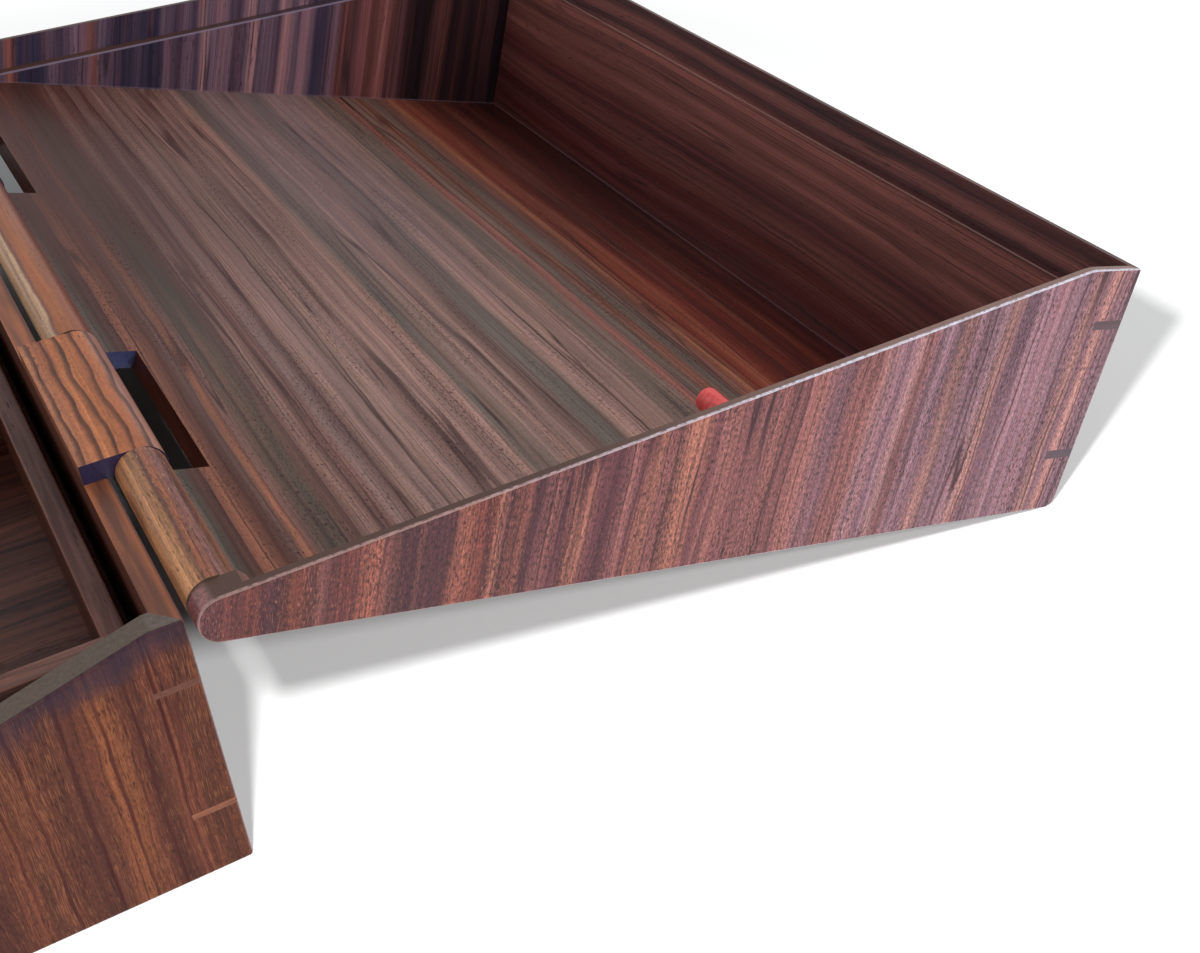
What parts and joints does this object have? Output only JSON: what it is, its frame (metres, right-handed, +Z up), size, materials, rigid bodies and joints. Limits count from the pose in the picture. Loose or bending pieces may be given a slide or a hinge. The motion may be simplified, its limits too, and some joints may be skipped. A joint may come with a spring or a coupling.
{
  "type": "desk letter box",
  "caption": "Sloping wooden desk box for letters with a lift-out tray and a deep lid that swings right over on a wooden barrel hinge; shown open.",
  "frame": {"origin": "centre of the base's underside, on the table", "axes": "+X from the base towards the open lid, +Y along the hinge, +Z up"},
  "size_m": [0.4857, 0.356, 0.0761],
  "materials": {
    "rosewood_lid": "satin, oiled",
    "rosewood_panel": "satin, oiled",
    "rosewood_base": "satin, oiled",
    "rosewood_tray": "satin, oiled",
    "striped_knuckle": "satin, oiled",
    "barrel_wood": "satin, oiled",
    "slip_wood": "satin, oiled",
    "light_slip_wood": "satin, oiled",
    "pin_steel": "plain drawn rod",
    "red_paint": "painted dowel"
  },
  "bodies": {
    "base": {"base_side_near": "rosewood_base", "base_side_far": "rosewood_base", "base_rear_wall": "rosewood_base", "base_front_wall": "rosewood_base", "base_bottom_panel": "rosewood_base", "base_slips_rear_near": "light_slip_wood", "base_slips_rear_far": "light_slip_wood", "base_slip_front_near": "light_slip_wood", "base_slip_front_far": "light_slip_wood", "knuckle_near": "striped_knuckle", "knuckle_far": "striped_knuckle", "tray_runner_near": "rosewood_tray", "tray_runner_far": "rosewood_tray"},
    "lid": {"lid_panel": "rosewood_panel", "lid_side_near": "rosewood_lid", "lid_side_far": "rosewood_lid", "lid_end_wall": "rosewood_lid", "lid_slips_near": "slip_wood", "lid_slips_far": "slip_wood", "hinge_barrel_near": "barrel_wood", "hinge_barrel_middle": "barrel_wood", "hinge_barrel_far": "barrel_wood", "hinge_pin": "pin_steel", "hinge_plug_near": "barrel_wood", "hinge_plug_far": "barrel_wood", "red_peg": "red_paint"},
    "tray": {"tray_end_near": "rosewood_tray", "tray_end_far": "rosewood_tray", "tray_rear_wall": "rosewood_tray", "tray_front_wall": "rosewood_tray", "tray_floor": "rosewood_tray", "tray_divider_near": "rosewood_tray", "tray_divider_far": "rosewood_tray"}
  },
  "joints": [
    {"name": "lid_hinge", "type": "hinge", "parent": "base", "child": "lid", "pos_m": [0.12208, 0, 0.0701], "axis": [0, -1, 0], "range_deg": [0, 195.78]},
    {"name": "tray_lift", "type": "slide", "parent": "base", "child": "tray", "axis": [0, 0, 1], "range_m": [0, 0.008]}
  ]
}
